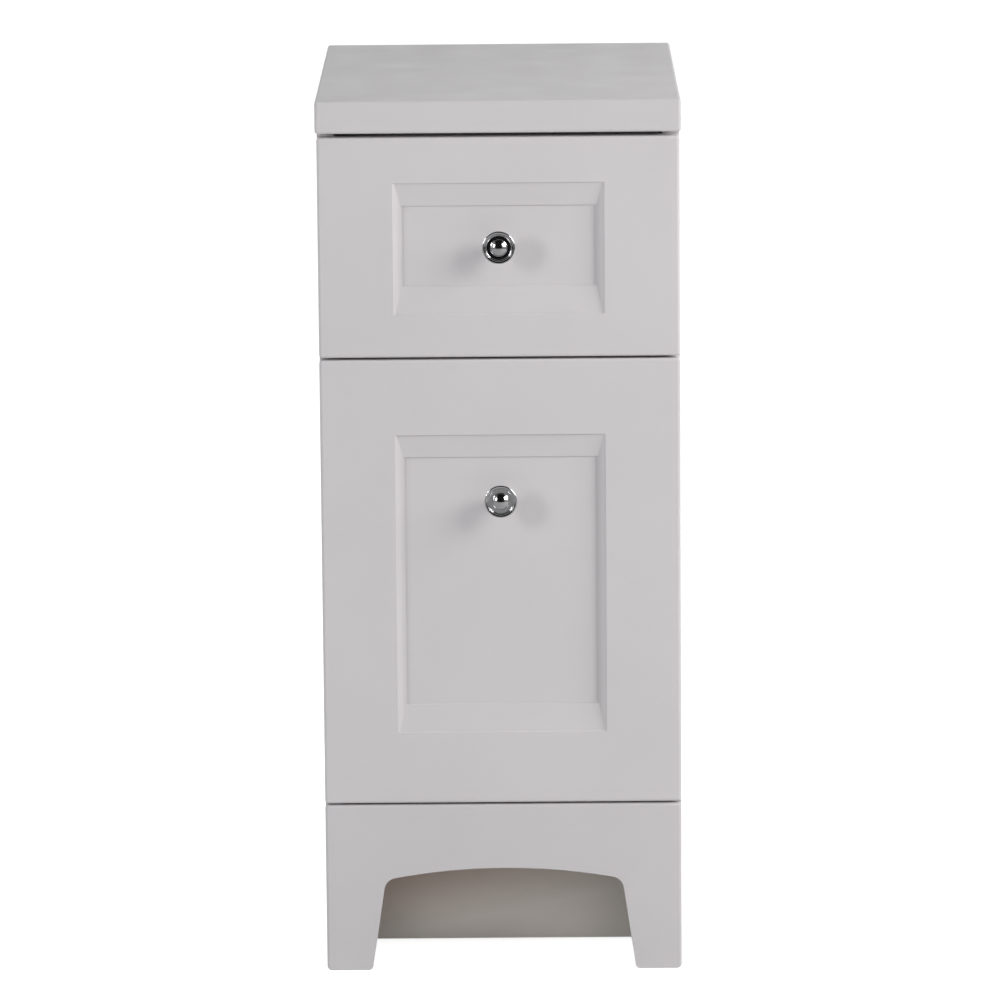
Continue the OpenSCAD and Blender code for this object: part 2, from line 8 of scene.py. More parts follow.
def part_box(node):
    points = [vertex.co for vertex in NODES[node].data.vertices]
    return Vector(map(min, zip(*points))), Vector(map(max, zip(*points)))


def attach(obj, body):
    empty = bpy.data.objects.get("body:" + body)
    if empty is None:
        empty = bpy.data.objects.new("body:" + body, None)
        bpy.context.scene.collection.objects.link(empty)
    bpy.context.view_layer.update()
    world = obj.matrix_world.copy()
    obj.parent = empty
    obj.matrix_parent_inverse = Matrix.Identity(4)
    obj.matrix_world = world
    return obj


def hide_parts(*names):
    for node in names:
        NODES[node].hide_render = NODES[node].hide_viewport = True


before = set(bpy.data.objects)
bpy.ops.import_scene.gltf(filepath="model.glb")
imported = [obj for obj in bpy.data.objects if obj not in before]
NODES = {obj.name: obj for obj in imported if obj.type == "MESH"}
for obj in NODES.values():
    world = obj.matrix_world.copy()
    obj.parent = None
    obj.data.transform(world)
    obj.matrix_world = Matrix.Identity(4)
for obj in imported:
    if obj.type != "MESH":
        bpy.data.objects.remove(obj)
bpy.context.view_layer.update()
MM = 0.001
DRAWERS = ("upper", "lower")
X, Y, Z = 0, 1, 2


# ---- Shader nodes --------------------------------------------------------------------

def add_node(tree, kind, **settings):
    node = tree.nodes.new(kind)
    for name, value in settings.items():
        setattr(node, name, value)
    return node


def feed(tree, socket, value):
    """Links another node's output to a socket, or sets the socket to a number or colour."""
    if isinstance(value, bpy.types.NodeSocket):
        tree.links.new(value, socket)
    else:
        socket.default_value = value


def maths(tree, operation, *values):
    node = add_node(tree, "ShaderNodeMath", operation=operation)
    for socket, value in zip(node.inputs, values):
        feed(tree, socket, value)
    return node.outputs[0]


def ranged(tree, value, low, high, to_low=0.0, to_high=1.0):
    """Carries a value from one range over to another, and stops at its ends."""
    node = add_node(tree, "ShaderNodeMapRange")
    for name, number in (("Value", value), ("From Min", low), ("From Max", high),
                         ("To Min", to_low), ("To Max", to_high)):
        feed(tree, node.inputs[name], number)
    return node.outputs["Result"]


def parts_of(tree, vector):
    """The X, Y and Z parts of a vector."""
    node = add_node(tree, "ShaderNodeSeparateXYZ")
    feed(tree, node.inputs[0], vector)
    return node.outputs


class Shader:
    """A material whose nodes are added and linked in short calls."""

    def __init__(self, name, rough=0.4, metallic=0.0, ior=1.45):
        self.mat = bpy.data.materials.new(name)
        self.mat.use_nodes = True
        self.tree = self.mat.node_tree
        self.bsdf = self.tree.nodes["Principled BSDF"]
        self.bsdf.inputs["Roughness"].default_value = rough
        self.bsdf.inputs["Metallic"].default_value = metallic
        self.bsdf.inputs["IOR"].default_value = ior
        coordinates = add_node(self.tree, "ShaderNodeTexCoord")
        self.place = coordinates.outputs["Object"]
        self.normal = coordinates.outputs["Normal"]

    def scaled(self, scale):
        """The object's coordinates, stretched along each axis."""
        node = add_node(self.tree, "ShaderNodeMapping")
        feed(self.tree, node.inputs["Scale"], scale)
        feed(self.tree, node.inputs["Vector"], self.place)
        return node.outputs["Vector"]

    def noise(self, scale, detail=3.0, rough=0.5, stretch=(1, 1, 1), distortion=0.0):
        node = add_node(self.tree, "ShaderNodeTexNoise")
        for name, value in (("Scale", scale), ("Detail", detail), ("Roughness", rough),
                            ("Distortion", distortion), ("Vector", self.scaled(stretch))):
            feed(self.tree, node.inputs[name], value)
        return node.outputs["Fac"]

    def ramp(self, fac, *stops):
        """Colours (or grey levels) at positions along a value from 0 to 1."""
        node = add_node(self.tree, "ShaderNodeValToRGB")
        items = node.color_ramp.elements
        while len(items) < len(stops):
            items.new(0.5)
        for item, (at, colour) in zip(items, stops):
            item.position = at
            if not isinstance(colour, tuple):
                colour = (colour, colour, colour)
            item.color = (*colour, 1)
        feed(self.tree, node.inputs["Fac"], fac)
        return node.outputs["Color"]

    def span(self, noise, low, high):
        """Spreads the middle of a noise, 0.3 to 0.7, between low and high."""
        return ranged(self.tree, noise, 0.3, 0.7, low, high)

    def mix(self, fac, a, b, blend="MIX"):
        """Mixes two colours, each the output of another node."""
        node = add_node(self.tree, "ShaderNodeMix", data_type="RGBA", blend_type=blend)
        for name, kind, value in (("Factor", "VALUE", fac), ("A", "RGBA", a),
                                  ("B", "RGBA", b)):
            socket = [i for i in node.inputs if i.name == name and i.type == kind][0]
            feed(self.tree, socket, value)
        return [o for o in node.outputs if o.type == "RGBA"][0]

    def facing(self, axis, limit=0.8):
        """1 where the surface faces along an axis, either way, else 0."""
        part = parts_of(self.tree, self.normal)[axis]
        return maths(self.tree, "GREATER_THAN", maths(self.tree, "ABSOLUTE", part), limit)

    def along(self, axis, low, high, both_sides=False):
        """0 to 1 from low to high along an axis, or out from the middle on both sides."""
        value = parts_of(self.tree, self.place)[axis]
        if both_sides:
            value = maths(self.tree, "ABSOLUTE", value)
        return ranged(self.tree, value, low, high)

    def bump(self, height, distance, strength=1.0, under=None):
        node = add_node(self.tree, "ShaderNodeBump")
        for name, value in (("Distance", distance), ("Strength", strength),
                            ("Height", height)):
            feed(self.tree, node.inputs[name], value)
        if under:
            feed(self.tree, node.inputs["Normal"], under)
        return node.outputs["Normal"]

    def done(self, colour, rough, normal):
        for name, value in (("Base Color", colour), ("Roughness", rough), ("Normal", normal)):
            feed(self.tree, self.bsdf.inputs[name], value)
        return self.mat


# ---- Materials -----------------------------------------------------------------------

def foil(name, low, high, crease=None, face=None):
    """White foil on fibreboard: slightly uneven, with a faint orange peel.

    On a front, painted shade darkens the recess along the upright creases. crease is their
    distance from the middle and face is the front's Y."""
    look = Shader(name, rough=0.4, ior=1.46)
    colour = look.ramp(look.noise(7, 3), (0.3, low), (0.7, high))
    if crease:
        # Painted shade: a darker band along each upright crease of the recess, deepest at the
        # crease.
        reach = 6 * MM
        crease_shade = look.ramp(look.along(X, crease - reach, crease + reach, True), (0.0, 1.0),
                         (0.3, 0.95), (0.5, 0.82), (0.75, 0.91), (1.0, 1.0))
        inside = look.along(Y, face + 0.8 * MM, face + 2 * MM)
        upright = look.mix(inside, colour, crease_shade, "MULTIPLY")
        colour = look.mix(look.facing(Z, 0.1), upright, colour)
    rough = look.span(look.noise(23, 4), 0.36, 0.46)
    peel = look.bump(look.noise(900, 2), 0.00002, 0.5)
    return look.done(colour, rough, look.bump(look.noise(26, 2), 0.00025, 0.3, peel))


def toe_foil():
    """The toe board's foil: warmer than the fronts, with painted shade that darkens it towards
    its top, painted light that pales it towards the floor, and random scuffs.
    """
    look = Shader("toe_kick_look", rough=0.46)
    place = parts_of(look.tree, look.place)
    # Painted shade: the ramp darkens the board from the floor up to its top, and a little towards
    # its left end.
    shade_slant = maths(look.tree, "MULTIPLY_ADD", place[X], -0.2, place[Z])
    colour = look.ramp(ranged(look.tree, shade_slant, 0, 100 * MM), (0.3, (0.93, 0.885, 0.82)),
                       (0.85, (0.69, 0.575, 0.50)))
    scuffs = look.noise(40, 4, 0.6, (0.3, 1, 1))
    worn = look.ramp(scuffs, (0.35, 0.8), (0.65, 1.0))
    colour = look.mix(0.12, colour, worn, "MULTIPLY")
    peel = look.bump(look.noise(900, 2), 0.00002, 0.5)
    return look.done(colour, look.span(scuffs, 0.4, 0.52), peel)


def chipboard(look):
    """The colour of a cut edge of particle board."""
    chips = add_node(look.tree, "ShaderNodeTexVoronoi", feature="F1")
    feed(look.tree, chips.inputs["Scale"], 650)
    feed(look.tree, chips.inputs["Vector"], look.scaled((1, 0.6, 1)))
    return look.ramp(chips.outputs["Color"], (0.1, (0.23, 0.14, 0.07)),
                     (0.5, (0.42, 0.29, 0.17)), (0.9, (0.60, 0.45, 0.29)))


def melamine(name, cut_axis):
    """White melamine board whose ends across one axis show the particle board."""
    look = Shader(name, rough=0.42)
    pearl = look.noise(420, 3, 0.6)
    white = look.ramp(look.noise(5, 3), (0.3, (0.74, 0.74, 0.72)), (0.7, (0.79, 0.79, 0.77)))
    colour = look.mix(look.facing(cut_axis), white, chipboard(look))
    return look.done(colour, look.span(pearl, 0.34, 0.5), look.bump(pearl, 0.00005, 0.6))


def plywood(name, across, grain, start, light, dark, plies=9, thick=12 * MM):
    """Plywood: veneer grain on its faces, and plies on its edges from start, across the board."""
    look = Shader(name, rough=0.42)
    stretch = tuple(0.045 if axis == grain else 1.0 for axis in (X, Y, Z))
    figure = look.noise(95, 5, 0.6, stretch, 0.6)
    broad = look.noise(14, 3, 0.5, stretch, 1.2)
    pores = look.noise(900, 2, 0.7, stretch)
    face = look.ramp(figure, (0.3, dark), (0.55, light), (0.75, tuple(1.08 * c for c in light)))
    face = look.mix(0.35, face, look.ramp(broad, (0.35, dark), (0.65, light)))
    face = look.mix(0.22, face, look.ramp(pores, (0.35, 0.25), (0.5, 1.0)), "MULTIPLY")
    per_metre = plies / thick
    above_zero = 400
    layer = maths(look.tree, "MULTIPLY_ADD", parts_of(look.tree, look.place)[across],
                  per_metre, above_zero - start * per_metre)
    ply = look.ramp(maths(look.tree, "PINGPONG", layer, 1.0),
                    (0.35, tuple(0.62 * c for c in dark)), (0.55, light))
    ply = look.mix(0.4, ply, look.ramp(look.noise(1300, 2), (0.35, dark), (0.65, light)))
    colour = look.mix(look.facing(across), ply, face)
    return look.done(colour, look.span(broad, 0.36, 0.5), look.bump(pores, 0.00008, 0.35))


def raw_wood():
    """Unpainted softwood with its grain upright."""
    look = Shader("raw_wood_look", rough=0.7)
    rings = look.noise(120, 4, 0.6, (1, 1, 0.06), 0.5)
    colour = look.ramp(rings, (0.3, (0.50, 0.34, 0.19)), (0.7, (0.74, 0.57, 0.37)))
    return look.done(colour, look.span(rings, 0.6, 0.8), look.bump(rings, 0.0002, 0.5))


def hardboard():
    """Brown hardboard: pressed fibres with darker flecks."""
    look = Shader("hardboard_look", rough=0.55)
    fibres = look.noise(260, 6, 0.7, (1, 1, 0.7), 1.5)
    clouds = look.noise(9, 3)
    colour = look.ramp(fibres, (0.25, (0.17, 0.09, 0.045)), (0.5, (0.33, 0.20, 0.11)),
                       (0.75, (0.46, 0.31, 0.19)))
    cloudy = look.ramp(clouds, (0.3, (0.24, 0.14, 0.08)), (0.7, (0.42, 0.28, 0.17)))
    colour = look.mix(0.3, colour, cloudy)
    return look.done(colour, look.span(fibres, 0.42, 0.62), look.bump(fibres, 0.00015, 0.5))


def metal(name, colour, rough, stretch=(1, 1, 1), mottle=60, depth=0.00002, spread=0.06):
    """Bare or plated metal: mottled, with fine marks drawn out along the stretch."""
    look = Shader(name, rough=rough, metallic=1.0)
    fine = look.noise(1200, 3, 0.6, stretch)
    dim = tuple(0.86 * c for c in colour)
    tint = look.ramp(look.noise(mottle, 4, 0.6), (0.3, dim), (0.7, colour))
    return look.done(tint, look.span(fine, max(rough - spread, 0.02), rough + spread),
                     look.bump(fine, depth, 0.4))


def plastic(name, low, high, rough):
    """Moulded plastic with a fine grain."""
    look = Shader(name, rough=rough)
    grain = look.noise(700, 3)
    colour = look.ramp(look.noise(18, 3), (0.3, low), (0.7, high))
    return look.done(colour, look.span(grain, rough - 0.06, rough + 0.06),
                     look.bump(grain, 0.00003, 0.6))


BIRCH = ((0.70, 0.53, 0.34), (0.52, 0.36, 0.20))
PALE_BIRCH = ((0.74, 0.59, 0.40), (0.58, 0.42, 0.25))
skirt_foil = foil("skirt_foil_look", (0.738, 0.720, 0.728), (0.768, 0.750, 0.758))
top_foil = foil("countertop_look", (0.755, 0.740, 0.743), (0.785, 0.770, 0.773))
side_foil = foil("carcass_foil_look", (0.755, 0.742, 0.742), (0.790, 0.777, 0.777))
chrome = metal("chrome_look", (0.93, 0.93, 0.94), 0.04, mottle=30, depth=0.000002, spread=0.01)
zinc = metal("zinc_look", (0.66, 0.68, 0.71), 0.34, (1, 0.05, 1), 45, 0.00003, 0.08)
cage_steel = metal("cage_look", (0.46, 0.47, 0.49), 0.3, mottle=90)
screw_zinc = metal("screw_look", (0.70, 0.69, 0.62), 0.28, mottle=300)
brace_white = plastic("brace_look", (0.74, 0.74, 0.71), (0.80, 0.80, 0.77), 0.42)
bumper_grey = plastic("bumper_look", (0.46, 0.46, 0.43), (0.56, 0.56, 0.53), 0.3)
bumper_grey.node_tree.nodes["Principled BSDF"].inputs["Transmission Weight"].default_value = 0.25
wood = raw_wood()


# ---- CAD pieces that keep their shape ------------------------------------------------

def even_normals(obj):
    """Flat faces stay flat where they run into roundings, and marked edges stay sharp."""
    even = obj.modifiers.new("normals", "WEIGHTED_NORMAL")
    even.keep_sharp = True


def wear(node, material, softness=None):
    """Gives a CAD node its material and, if softness is set, edges rounded by that many mm."""
    obj = NODES[node]
    obj.data.materials.clear()
    obj.data.materials.append(material)
    if softness:
        weld = obj.modifiers.new("weld", "WELD")
        weld.merge_threshold = 0.01 * MM
        bevel = obj.modifiers.new("bevel", "BEVEL")
        bevel.width = softness * MM
        bevel.segments = 3
        bevel.limit_method = "ANGLE"
        bevel.angle_limit = math.radians(35)
        bevel.harden_normals = False
        even_normals(obj)


for side in ("left", "right"):
    wear("side_panel_" + side, side_foil, 0.4)
wear("toe_kick", toe_foil(), 0.4)
wear("bottom_panel", melamine("bottom_panel_look", X), 0.3)
wear("front_stretcher", melamine("stretcher_look", X), 0.3)
wear("wall_rail", melamine("wall_rail_look", Z), 0.3)
wear("back_panel", hardboard(), 0.3)
wear("skirt_blocks", wood, 0.5)
wear("carcass_dowels", wood)
wear("corner_braces", brace_white, 0.5)
for screws in ("brace_screws", "top_screws", "slide_outer_screws"):
    wear(screws, screw_zinc)
for drawer in DRAWERS:
    for part in ("outer", "middle", "inner"):
        for side in ("left", "right"):
            wear(f"{drawer}_slide_{part}_{side}", zinc, 0.25)
    for part in ("outer", "inner"):
        wear(f"{drawer}_{part}_ball_cages", cage_steel)
    for part in ("slide_inner_screws", "front_screws", "knob_screw"):
        wear(f"{drawer}_{part}", screw_zinc)
    wear(drawer + "_bumpers", bumper_grey, 0.3)
    for part, across, grain in (("left", X, Y), ("right", X, Y), ("front", Y, X),
                                ("back", Y, X)):
        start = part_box(f"{drawer}_box_{part}")[0][across]
        wear(f"{drawer}_box_{part}",
             plywood(f"{drawer}_{part}_look", across, grain, start, *BIRCH), 0.5)
    low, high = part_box(drawer + "_box_bottom")
    wear(drawer + "_box_bottom",
         plywood(drawer + "_bottom_look", Z, X, low.z, *PALE_BIRCH, 5, high.z - low.z), 0.2)


# ---- Mesh building -------------------------------------------------------------------

def make(name, bm, material):
    bmesh.ops.recalc_face_normals(bm, faces=bm.faces)
    mesh = bpy.data.meshes.new(name)
    bm.to_mesh(mesh)
    bm.free()
    mesh.polygons.foreach_set("use_smooth", [True] * len(mesh.polygons))
    obj = bpy.data.objects.new(name, mesh)
    bpy.context.scene.collection.objects.link(obj)
    obj.data.materials.append(material)
    return obj


def arc(start, end, steps):
    """Angles from start to end, given in degrees and returned in radians."""
    return [math.radians(start + (end - start) * i / steps) for i in range(steps + 1)]


def bend(centre, radius, start, end, steps):
    """Points along a circle, from one angle to another, in degrees."""
    return [(centre[0] + radius * math.cos(a), centre[1] + radius * math.sin(a))
            for a in arc(start, end, steps)]


def rounded_ring(bm, low, high, inset, radius, y):
    """A ring of vertices round a rectangle in X and Z, each corner a quarter circle."""
    x0, x1, z0, z1 = low.x + inset, high.x - inset, low.z + inset, high.z - inset
    radius = max(radius - inset, 0.02 * MM)
    ring = []
    for x, z, turn in ((x1 - radius, z0 + radius, -90), (x1 - radius, z1 - radius, 0),
                       (x0 + radius, z1 - radius, 90), (x0 + radius, z0 + radius, 180)):
        ring += [bm.verts.new((p, y, q)) for p, q in bend((x, z), radius, turn, turn + 90, 6)]
    return ring


def skin(bm, a, b):
    """Quads between two closed rings of as many vertices."""
    for i in range(len(a)):
        j = (i + 1) % len(a)
        bm.faces.new((a[i], a[j], b[j], b[i]))


def eased_slab(name, node, material, radius, recess=None):
    """A board in a CAD node's place, with rounded front edges and, if given, a recess."""
    low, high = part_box(node)
    back_ease = 0.3 * MM
    bm = bmesh.new()
    rings = [rounded_ring(bm, low, high, back_ease, radius, high.y)]
    rings.append(rounded_ring(bm, low, high, 0, radius, high.y - back_ease))
    for a in arc(0, 90, 8):
        rings.append(rounded_ring(bm, low, high, radius * (1 - math.cos(a)), radius,
                                  low.y + radius * (1 - math.sin(a))))
    for a, b in zip(rings, rings[1:]):
        skin(bm, a, b)
    bm.faces.new(list(reversed(rings[0])))
    face = rings[-1]
    if recess:
        recess_faces(bm, face, low.y, *recess)
    else:
        bm.faces.new(face)
    obj = make(name, bm, material)
    even_normals(obj)
    return obj


def recess_profile(depth):
    """Shares of the side and cross slopes' widths passed, and the depth reached there.

    A rounded nose leads into straight slopes. Those above and below the flat lie between
    two steps, one at the face and one at the flat. The side slopes run straight past both."""
    nose, step, crease, foot = 0.8 * MM, 0.25 * depth, 0.84 * depth, 0.96 * depth
    nose_share = 0.06
    slope_start, slope_share = 0.065, 0.91
    profile = [(nose_share * x, 0.034 * x, nose * (1 - y)) for x, y in bend((0, 0), 1, 90, 0, 5)]
    for cross, d in ((0.04, step), (0.05, step + 0.05 * MM), (0.96, crease - 0.08 * MM),
                     (0.982, crease), (0.987, foot)):
        side = slope_start + slope_share * (d - nose) / (foot - nose)
        profile.append((side, cross, d))
    profile.append((1.0, 1.0, depth))
    return profile


def recess_faces(bm, face, face_y, x0, x1, z0, z1, side, bottom, top, depth):
    """The recess: four slopes of given widths that meet in mitres round a flat panel."""
    rings = []
    for side_share, cross_share, d in recess_profile(depth):
        left, right = x0 + side * side_share, x1 - side * side_share
        below, above = z0 + bottom * cross_share, z1 - top * cross_share
        rings.append([bm.verts.new((x, face_y + d, z)) for x, z in (
            (right, below), (right, above), (left, above), (left, below))])
    share = len(face) // 4
    for i in range(4):
        corner = face[i * share:(i + 1) * share]
        for a, b in zip(corner, corner[1:]):
            bm.faces.new((rings[0][i], a, b))
        follow = (i + 1) % 4
        bm.faces.new((rings[0][i], corner[-1], face[follow * share], rings[0][follow]))
    for a, b in zip(rings, rings[1:]):
        skin(bm, a, b)
        for mitre in zip(a, b):
            bm.edges.get(mitre).smooth = False
    bm.faces.new(rings[-1])


# ---- Countertop and fronts -----------------------------------------------------------

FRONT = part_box("upper_drawer_front")
FACE = FRONT[0].y
EASE = 3 * MM
STILE, SIDE_BEVEL, TOP_BEVEL, BOTTOM_BEVEL = 73 * MM, 9.5 * MM, 24 * MM, 28.5 * MM
RAILS = {"upper": (44.2 * MM, 41.5 * MM), "lower": (74 * MM, 71 * MM)}
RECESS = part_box("upper_knob")[1].y - FACE
CREASE = FRONT[1].x - STILE - SIDE_BEVEL
front_foil = foil("front_foil_look", (0.770, 0.752, 0.760), (0.800, 0.782, 0.790), CREASE, FACE)

top = eased_slab("countertop_slab", "countertop", top_foil, EASE)
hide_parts("countertop")
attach(top, "cabinet")

for drawer in DRAWERS:
    node = drawer + "_drawer_front"
    low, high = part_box(node)
    top_rail, bottom_rail = RAILS[drawer]
    panel = eased_slab(drawer + "_front_panel", node, front_foil, EASE, (
        low.x + STILE, high.x - STILE, low.z + bottom_rail, high.z - top_rail,
        SIDE_BEVEL, BOTTOM_BEVEL, TOP_BEVEL, RECESS))
    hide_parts(node)
    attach(panel, drawer + "_drawer")


# ---- Skirt ---------------------------------------------------------------------------

ARCH_H, ARCH_R, ARCH_FILLET = 103.4 * MM, 602 * MM, 13 * MM
FOOT_GAP, FOOT_LEAN, FOOT_R = 262 * MM, 8.5, 4.5 * MM


def half_skirt(half_w, height):
    """The right half of the skirt's outline as (x, z, easing), from the arch's middle."""
    soft = 0.8 * MM
    lean = math.radians(FOOT_LEAN)
    centre = Vector((0, ARCH_H - ARCH_R))
    along = Vector((-math.sin(lean), math.cos(lean)))
    inward = Vector((-math.cos(lean), -math.sin(lean)))
    start = Vector((FOOT_GAP / 2, 0)) + ARCH_FILLET * inward - centre
    rise = -start.dot(along) + math.sqrt(
        start.dot(along) ** 2 - start.dot(start) + (ARCH_R - ARCH_FILLET) ** 2)
    fillet = start + centre + rise * along
    away = math.degrees(math.atan2(fillet.y - centre.y, fillet.x - centre.x))
    toe = (FOOT_GAP / 2 + FOOT_R * (1 / math.cos(lean) - math.tan(lean)), FOOT_R)
    edge = bend(centre, ARCH_R, 90, away, 40)[:-1]
    edge += bend(fillet, ARCH_FILLET, away, FOOT_LEAN, 12)
    edge += bend(toe, FOOT_R, 180 + FOOT_LEAN, 270, 8)
    points = [(x, z, soft) for x, z in edge]
    outer_toe = bend((half_w - FOOT_R, FOOT_R), FOOT_R, -90, 0, 8)
    for i, (x, z) in enumerate(outer_toe):
        points.append((x, z, soft + (EASE - soft) * i / 8))
    points += [(x, z, EASE) for x, z in bend((half_w - EASE, height - EASE), EASE, 0, 90, 6)]
    return points


def outward_normals(outline):
    """At each point, the mean of the normals of the two sides that meet there."""
    normals = []
    for i, here in enumerate(outline):
        before, after = outline[i - 1], outline[(i + 1) % len(outline)]
        normal = Vector((0, 0))
        for a, b in ((before, here), (here, after)):
            side = Vector((b[0] - a[0], b[1] - a[1]))
            if side.length > 1e-7:
                normal += Vector((-side.y, side.x)).normalized()
        normals.append(normal.normalized())
    return normals


def skirt_mesh():
    """The skirt in its CAD node's place, its front edges rounded by each point's easing."""
    low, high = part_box("front_skirt")
    half = half_skirt(high.x, high.z)
    outline = half + [(-x, z, ease) for x, z, ease in reversed(half) if x > 1e-6]
    normals = outward_normals(outline)
    bm = bmesh.new()
    rings = [[bm.verts.new((x, high.y, z)) for x, z, ease in outline]]
    for a in arc(0, 90, 8):
        ring = []
        for (x, z, ease), normal in zip(outline, normals):
            inset = ease * (1 - math.cos(a))
            ring.append(bm.verts.new((x + inset * normal.x, low.y + ease * (1 - math.sin(a)),
                                      z + inset * normal.y)))
        rings.append(ring)
    for a, b in zip(rings, rings[1:]):
        skin(bm, a, b)
    bm.faces.new(rings[0])
    bm.faces.new(rings[-1])
    obj = make("skirt_panel", bm, skirt_foil)
    even_normals(obj)
    return obj


skirt = skirt_mesh()
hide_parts("front_skirt")
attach(skirt, "cabinet")


# ---- Knobs ---------------------------------------------------------------------------

def knob_profile(reach):
    """Radius and distance from the panel in mm, from the foot's underside to the dome's tip."""
    foot_r, foot_t, foot_ease, foot_round = 9.5, 2.5, 0.4, 0.6
    neck_r, neck_fillet, neck_fillet_t = 5.5, 2.0, 4.4
    rim_at, rim_r, rim_t, rim_side = 15.0, 1.2, reach - 4.5, 0.4
    bead_at, bead_t, dish_t = 13.2, rim_t - 0.3, rim_t - 0.6
    dome_r, dome_curve = 8.2, 10.5
    rim_low = rim_t - rim_side
    cove_r = rim_at - neck_r
    cove_t = rim_low - rim_r - cove_r
    land_slope = 0.25
    land_end, dish_outer_r, dish_inner_r = 13.66, 11.6, 8.7
    dome_edge_t = reach - dome_curve + math.sqrt(dome_curve ** 2 - dome_r ** 2)

    under = 0.1
    points = [(0, under), (foot_r - foot_ease, under)]
    points += bend((foot_r - foot_ease, under + foot_ease), foot_ease, -90, 0, 4)
    points += bend((foot_r - foot_round, foot_t - foot_round), foot_round, 0, 80, 6)
    points += bend((neck_r + neck_fillet, neck_fillet_t), neck_fillet, -100, -180, 8)
    points += bend((rim_at, cove_t), cove_r, 176, 93, 16)
    points += bend((rim_at, rim_low), rim_r, -84, 0, 10)
    points += bend((rim_at, rim_t), rim_r, 0, 104, 18)
    points += [(r, rim_t + rim_r - land_slope * (rim_at - r))
               for r in (14.60, land_end + 0.08, land_end)]
    points += bend((bead_at, bead_t), rim_r, 68, 188, 16)
    points += [(dish_outer_r + 0.35, dish_t + 0.04), (dish_outer_r + 0.25, dish_t),
               (dish_outer_r, dish_t), (dish_inner_r, dish_t), (8.45, dish_t),
               (dome_r + 0.08, dish_t + 0.06), (dome_r, dish_t + 0.22),
               (dome_r, dome_edge_t - 0.4), (dome_r - 0.06, dome_edge_t - 0.12)]
    points += bend((0, reach - dome_curve), dome_curve, 40, 90, 24)
    return points


def lathe(bm, profile, centre, segments=128):
    """Turns a profile in mm round the axis that runs from the centre towards -Y."""
    rings = []
    for r, t in profile:
        y = centre.y - t * MM
        if r < 1e-6:
            rings.append([bm.verts.new((centre.x, y, centre.z))])
        else:
            rings.append([bm.verts.new((x, y, z)) for x, z in bend(
                (centre.x, centre.z), r * MM, 0, 360, segments)[:-1]])
    for a, b in zip(rings, rings[1:]):
        if len(a) == len(b):
            skin(bm, a, b)
            continue
        tip, rim = (a[0], b) if len(a) == 1 else (b[0], a)
        for i in range(segments):
            bm.faces.new((tip, rim[i], rim[(i + 1) % segments]))


for drawer in DRAWERS:
    low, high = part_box(drawer + "_knob")
    foot = Vector(((low.x + high.x) / 2, high.y, (low.z + high.z) / 2))
    bm = bmesh.new()
    lathe(bm, knob_profile((high.y - low.y) / MM), foot)
    knob = make(drawer + "_ring_knob", bm, chrome)
    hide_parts(drawer + "_knob")
    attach(knob, drawer + "_drawer")


# ---- Floor and light -----------------------------------------------------------------

def stage_floor(glow):
    """A pale floor that reads as white, with the cabinet's soft shadow on it.

    It glows for the camera only, and gloss reflects it darker than it is."""
    side, front, back, drop = 8, 3.9, 8, 0.4 * MM
    tone, tone_in_gloss = 0.90, 0.45
    bm = bmesh.new()
    bm.faces.new([bm.verts.new((x, y, -drop)) for x, y in (
        (-side, -front), (side, -front), (side, back), (-side, back))])
    mesh = bpy.data.meshes.new("floor_stage")
    bm.to_mesh(mesh)
    bm.free()
    floor = bpy.data.objects.new("floor_stage", mesh)
    bpy.context.scene.collection.objects.link(floor)
    mat = bpy.data.materials.new("floor_look")
    mat.use_nodes = True
    tree = mat.node_tree
    tree.nodes.clear()
    path = add_node(tree, "ShaderNodeLightPath")
    diffuse = add_node(tree, "ShaderNodeBsdfDiffuse")
    feed(tree, diffuse.inputs["Color"],
         ranged(tree, path.outputs["Is Glossy Ray"], 0, 1, tone, tone_in_gloss))
    shine = add_node(tree, "ShaderNodeEmission")
    feed(tree, shine.inputs["Color"], (1, 1, 1, 1))
    feed(tree, shine.inputs["Strength"],
         maths(tree, "MULTIPLY", path.outputs["Is Camera Ray"], glow))
    both = add_node(tree, "ShaderNodeAddShader")
    feed(tree, both.inputs[0], diffuse.outputs[0])
    feed(tree, both.inputs[1], shine.outputs[0])
    out = add_node(tree, "ShaderNodeOutputMaterial")
    feed(tree, out.inputs["Surface"], both.outputs[0])
    floor.data.materials.append(mat)


def softbox(name, azimuth, height, distance, size, power, tint, aim=0.5, spread=180):
    """An area light round the cabinet, whose azimuth grows from the front to the right.

    It looks at the height aim on the front's middle, and spread narrows its beam."""
    turn = math.radians(azimuth)
    light = bpy.data.lights.new(name, "AREA")
    light.shape = "RECTANGLE"
    light.size, light.size_y = size
    light.energy = power
    light.spread = math.radians(spread)
    light.color = tint
    obj = bpy.data.objects.new(name, light)
    obj.location = (distance * math.sin(turn), FACE - distance * math.cos(turn), height)
    ahead = Vector((0, FACE, aim)) - obj.location
    obj.rotation_euler = ahead.to_track_quat("-Z", "Y").to_euler()
    bpy.context.scene.collection.objects.link(obj)


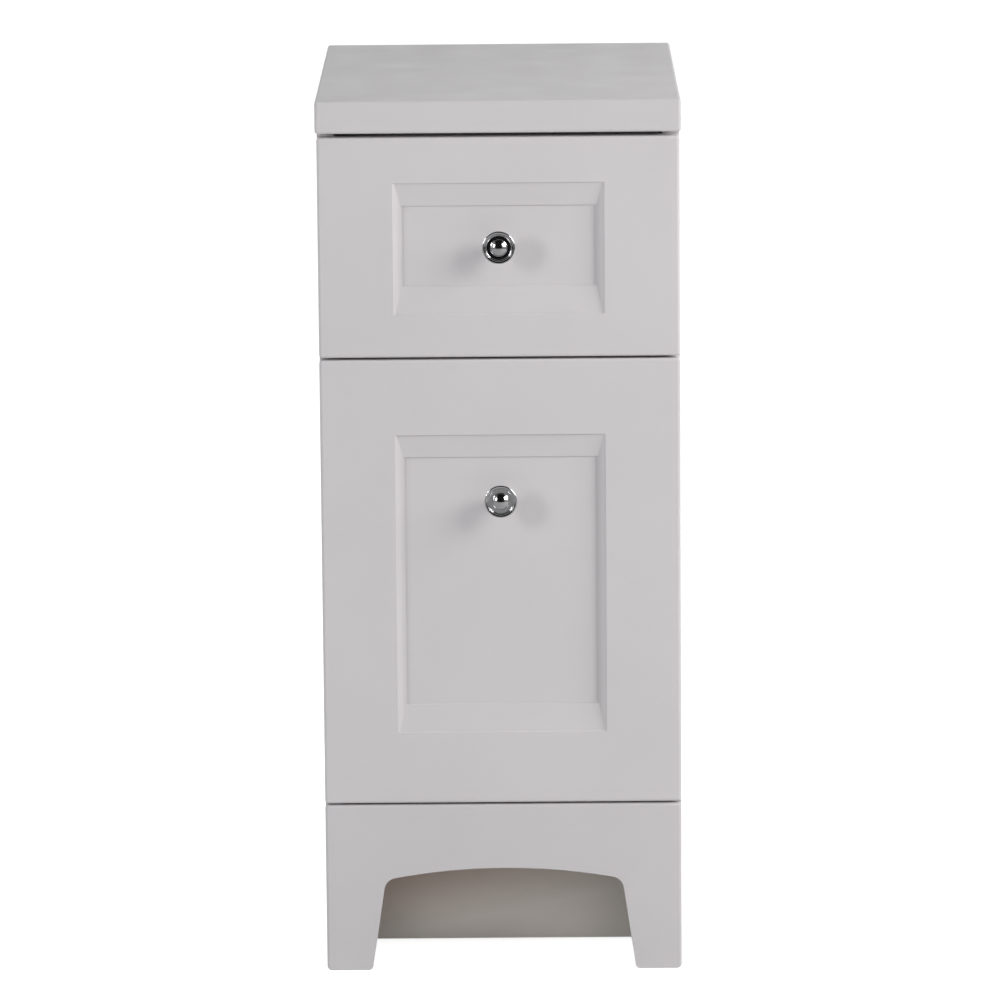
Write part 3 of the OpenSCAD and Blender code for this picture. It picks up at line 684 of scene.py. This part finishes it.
def studio_world(low, high, dark, sides, wall):
    """White behind the object, an even room for the light, a dark one for reflections.

    low and high are the room's levels below and above, dark is what gloss reflects in front
    and above, sides what it reflects to the left and right, and wall what it reflects behind
    the cabinet, near the horizon."""
    white = 1.05
    world = bpy.data.worlds.new("studio")
    bpy.context.scene.world = world
    world.use_nodes = True
    tree = world.node_tree
    tree.nodes.clear()
    path = add_node(tree, "ShaderNodeLightPath")
    place = parts_of(tree, add_node(tree, "ShaderNodeTexCoord").outputs["Generated"])

    def background(strength, colour=(1, 1, 1, 1)):
        node = add_node(tree, "ShaderNodeBackground")
        feed(tree, node.inputs["Color"], colour)
        feed(tree, node.inputs["Strength"], strength)
        return node.outputs[0]

    def choose(ray, no, yes):
        node = add_node(tree, "ShaderNodeMixShader")
        for socket, value in zip(node.inputs, (path.outputs[ray], no, yes)):
            feed(tree, socket, value)
        return node.outputs[0]

    tint = add_node(tree, "ShaderNodeValToRGB")
    warm_low, cool_high = tint.color_ramp.elements
    warm_low.color = (1.0, 0.985, 0.975, 1)
    cool_high.color = (0.975, 0.985, 1.0, 1)
    feed(tree, tint.inputs["Fac"], ranged(tree, place[Z], -0.5, 0.5))
    room = background(ranged(tree, place[Z], -0.5, 0.5, low, high), tint.outputs["Color"])
    beside = ranged(tree, maths(tree, "ABSOLUTE", place[X]), 0.5, 0.9, dark, sides)
    behind = ranged(tree, place[Y], -0.1, 0.3)
    near_horizon = ranged(tree, place[Z], 0.25, 0.45, 1, 0)
    band = maths(tree, "MULTIPLY", behind, near_horizon)
    mirror = background(maths(tree, "ADD", beside, maths(tree, "MULTIPLY", band, wall)))
    shown = choose("Is Camera Ray", choose("Is Glossy Ray", room, mirror), background(white))
    out = add_node(tree, "ShaderNodeOutputWorld")
    feed(tree, out.inputs["Surface"], shown)


stage_floor(0.85)
WARM, COOL = (1.0, 0.975, 0.98), (0.985, 0.98, 1.0)
softbox("key", 53, 1.9, 2.6, (0.8, 1.2), 21, WARM)
softbox("side", 73, 1.7, 2.4, (0.9, 1.4), 25.5, WARM)
softbox("fill", -53, 1.35, 2.4, (0.5, 0.9), 13.3, COOL)
softbox("rear", 165, 2.2, 1.6, (1.0, 1.0), 3, COOL, 0.87)
softbox("kick", 0, 0.022, 0.6, (0.2, 0.03), 0.0026, WARM, 0.022, 8)
studio_world(0.41, 0.25, 0.008, 0.4, 1.15)


# ---- Camera --------------------------------------------------------------------------

def photo_camera():
    """The camera of the photograph: slightly right of the middle, looking a little down."""
    lens, sensor = 231.73, 36
    aside, distance, height = 0.0217, 6.1995, 1.6442
    yaw, pitch, roll = -0.00363, 0.18630, -0.00839
    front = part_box("countertop")[0].y
    ahead = Vector((math.sin(yaw) * math.cos(pitch), math.cos(yaw) * math.cos(pitch),
                    -math.sin(pitch)))
    right = Vector((math.cos(yaw), -math.sin(yaw), 0))
    up = right.cross(ahead)
    rolled_right = math.cos(roll) * right + math.sin(roll) * up
    rolled_up = -math.sin(roll) * right + math.cos(roll) * up
    data = bpy.data.cameras.new("camera")
    data.lens = lens
    data.sensor_width = sensor
    data.clip_end = 60
    obj = bpy.data.objects.new("camera", data)
    bpy.context.scene.collection.objects.link(obj)
    axes = Matrix((rolled_right, rolled_up, -ahead)).transposed().to_4x4()
    obj.matrix_world = Matrix.Translation((aside, front - distance, height)) @ axes
    bpy.context.scene.camera = obj


photo_camera()
bpy.context.scene.view_settings.view_transform = "Standard"
bpy.context.scene.view_settings.look = "None"
